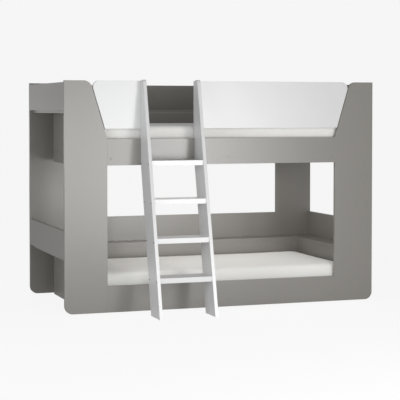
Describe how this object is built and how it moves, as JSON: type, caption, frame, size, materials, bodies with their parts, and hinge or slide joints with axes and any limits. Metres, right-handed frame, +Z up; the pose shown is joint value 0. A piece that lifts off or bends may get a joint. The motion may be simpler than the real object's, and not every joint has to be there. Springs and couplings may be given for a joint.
{
  "type": "bunk bed",
  "caption": "Bunk bed in lacquered board with an inset mattress well to each bunk, white guard panels and a fixed leaning ladder.",
  "frame": {"origin": "on the floor, at the middle of the whole footprint, ladder included", "axes": "+X along the bed towards its right end as seen from the ladder, +Y from the ladder to the back, +Z up"},
  "size_m": [2.26, 1.522, 1.562],
  "materials": {
    "grey_lacquer": "satin grey lacquer on fibreboard",
    "white_lacquer": "satin white lacquer on fibreboard",
    "mattress_ticking": "plain off-white woven ticking",
    "slat_timber": "planed bare pine",
    "zinc_steel": "zinc-plated steel",
    "cap_plastic": "moulded cover cap"
  },
  "bodies": {
    "bed_frame": {"batten_lower_back": "slat_timber", "batten_lower_front": "slat_timber", "batten_upper_back": "slat_timber", "batten_upper_front": "slat_timber", "cross_rail_lower": "slat_timber", "cross_rail_upper": "slat_timber", "front_rail_lower": "grey_lacquer", "front_rail_upper": "grey_lacquer", "guard_block_left": "white_lacquer", "guard_block_right": "white_lacquer", "guard_panel_left": "white_lacquer", "guard_panel_right": "white_lacquer", "guard_plate_left": "zinc_steel", "guard_plate_right": "zinc_steel", "ladder_bolt_left_guard": "zinc_steel", "ladder_bolt_left_rail": "zinc_steel", "ladder_bolt_right_guard": "zinc_steel", "ladder_bolt_right_rail": "zinc_steel", "ladder_stile_left": "white_lacquer", "ladder_stile_right": "white_lacquer", "ladder_tread_1": "white_lacquer", "ladder_tread_2": "white_lacquer", "ladder_tread_3": "white_lacquer", "ladder_tread_4": "white_lacquer", "ledge_lower_back": "grey_lacquer", "ledge_lower_left": "grey_lacquer", "ledge_lower_right": "grey_lacquer", "ledge_upper_back": "grey_lacquer", "ledge_upper_left": "grey_lacquer", "ledge_upper_right": "grey_lacquer", "outer_board_lower_back": "grey_lacquer", "outer_board_lower_left": "grey_lacquer", "outer_board_lower_right": "grey_lacquer", "outer_board_upper_back": "grey_lacquer", "outer_board_upper_left": "grey_lacquer", "outer_board_upper_right": "grey_lacquer", "post_back_left": "grey_lacquer", "post_back_right": "grey_lacquer", "post_front_left": "grey_lacquer", "post_front_right": "grey_lacquer", "rail_cap_lower_left": "cap_plastic", "rail_cap_lower_middle": "cap_plastic", "rail_cap_lower_right": "cap_plastic", "rail_cap_upper_left": "cap_plastic", "rail_cap_upper_middle": "cap_plastic", "rail_cap_upper_right": "cap_plastic", "slat_roll_lower": "slat_timber", "slat_roll_upper": "slat_timber", "well_board_lower_back": "grey_lacquer", "well_board_lower_left": "grey_lacquer", "well_board_lower_right": "grey_lacquer", "well_board_upper_back": "grey_lacquer", "well_board_upper_left": "grey_lacquer", "well_board_upper_right": "grey_lacquer"},
    "lower_mattress": {"mattress_lower": "mattress_ticking"},
    "upper_mattress": {"mattress_upper": "mattress_ticking"}
  },
  "joints": [
    {"name": "lower_mattress_lift", "type": "slide", "parent": "bed_frame", "child": "lower_mattress", "axis": [0, 0, 1], "range_m": [0, 0.3]},
    {"name": "upper_mattress_lift", "type": "slide", "parent": "bed_frame", "child": "upper_mattress", "axis": [0, 0, 1], "range_m": [0, 0.5]}
  ]
}
